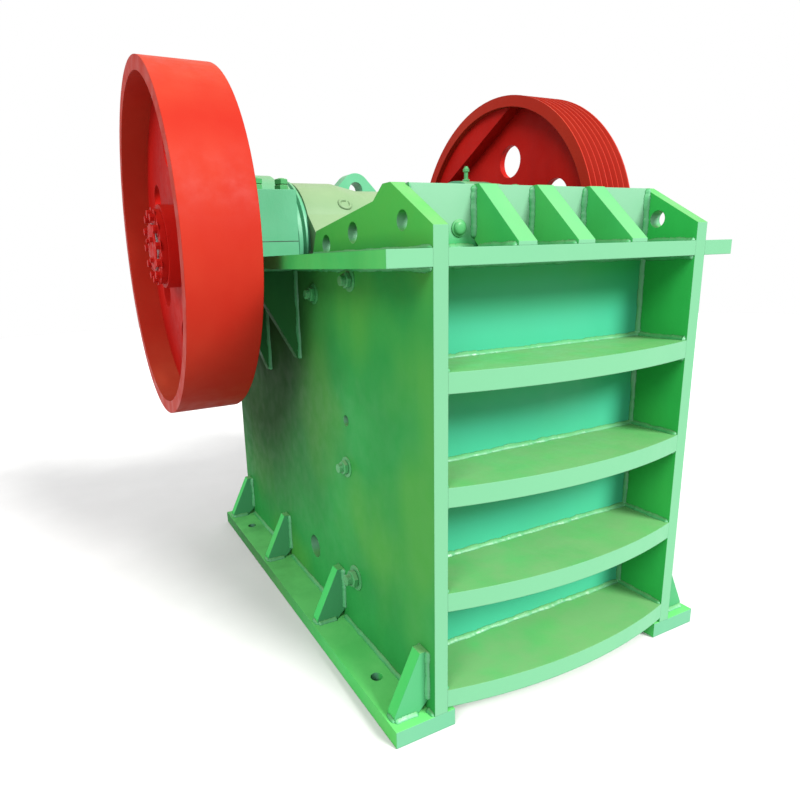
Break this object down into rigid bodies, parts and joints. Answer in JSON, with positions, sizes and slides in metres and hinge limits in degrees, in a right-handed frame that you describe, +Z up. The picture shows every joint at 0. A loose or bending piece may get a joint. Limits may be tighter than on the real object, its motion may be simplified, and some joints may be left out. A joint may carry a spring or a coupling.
{
  "type": "jaw crusher",
  "caption": "Single toggle jaw crusher: welded frame with a ribbed bowed front, swing jaw on an eccentric shaft, plain flywheel and grooved drive pulley.",
  "frame": {"origin": "on the ground at the middle of the base flanges, in width and in length", "axes": "+X towards the grooved pulley, +Y from the ribbed front wall to the rear, +Z up"},
  "size_m": [2.142, 2.4219, 2.337],
  "materials": {
    "frame_paint": "semi-gloss green paint on welded plate",
    "wheel_paint": "semi-gloss red paint on cast iron",
    "jaw_paint": "green paint on a steel casting",
    "housing_paint": "green paint on cast housings",
    "wear_plate": "bare cast manganese steel, dull",
    "shaft_steel": "machined steel, oiled",
    "spring_steel": "dark painted spring steel"
  },
  "bodies": {
    "frame": {"adjusting_block": "shaft_steel", "base_flange_left": "frame_paint", "base_flange_right": "frame_paint", "base_gussets_left": "frame_paint", "base_gussets_right": "frame_paint", "bearing_base_left": "housing_paint", "bearing_base_right": "housing_paint", "bearing_cap_left": "housing_paint", "bearing_cap_right": "housing_paint", "bearing_covers": "housing_paint", "bearing_seats": "frame_paint", "block_guides": "frame_paint", "cheek_plates_left": "wear_plate", "cheek_plates_right": "wear_plate", "fixed_jaw_plate": "wear_plate", "front_ribs": "frame_paint", "front_wall": "frame_paint", "rear_ribs": "frame_paint", "rear_wall": "frame_paint", "seat_gussets_left": "frame_paint", "seat_gussets_right": "frame_paint", "shim_pack": "shaft_steel", "side_plate_left": "frame_paint", "side_plate_right": "frame_paint", "spring_seat": "frame_paint", "tension_rod": "shaft_steel", "tension_spring": "spring_steel", "toggle_plate": "shaft_steel", "top_flange_front": "frame_paint", "top_flange_left": "frame_paint", "top_flange_right": "frame_paint", "upper_gussets": "frame_paint"},
    "rotor": {"eccentric_shaft": "shaft_steel", "flywheel_rim": "wheel_paint", "flywheel_web": "wheel_paint", "flywheel_counterweight": "wheel_paint", "pulley_rim": "wheel_paint", "pulley_web": "wheel_paint", "pulley_counterweight": "wheel_paint", "wheel_lock_rings": "wheel_paint"},
    "jaw": {"jaw_end_rings": "jaw_paint", "jaw_webs": "jaw_paint", "lifting_lug": "jaw_paint", "moving_jaw_plate": "wear_plate", "swing_jaw": "jaw_paint"}
  },
  "joints": [
    {"name": "shaft_turn", "type": "hinge", "parent": "frame", "child": "rotor", "pos_m": [0, 0.438, 1.604], "axis": [1, 0, 0], "continuous": true},
    {"name": "jaw_swing", "type": "hinge", "parent": "frame", "child": "jaw", "pos_m": [0, 0.438, 1.604], "axis": [1, 0, 0], "range_deg": [-1, 0]}
  ]
}
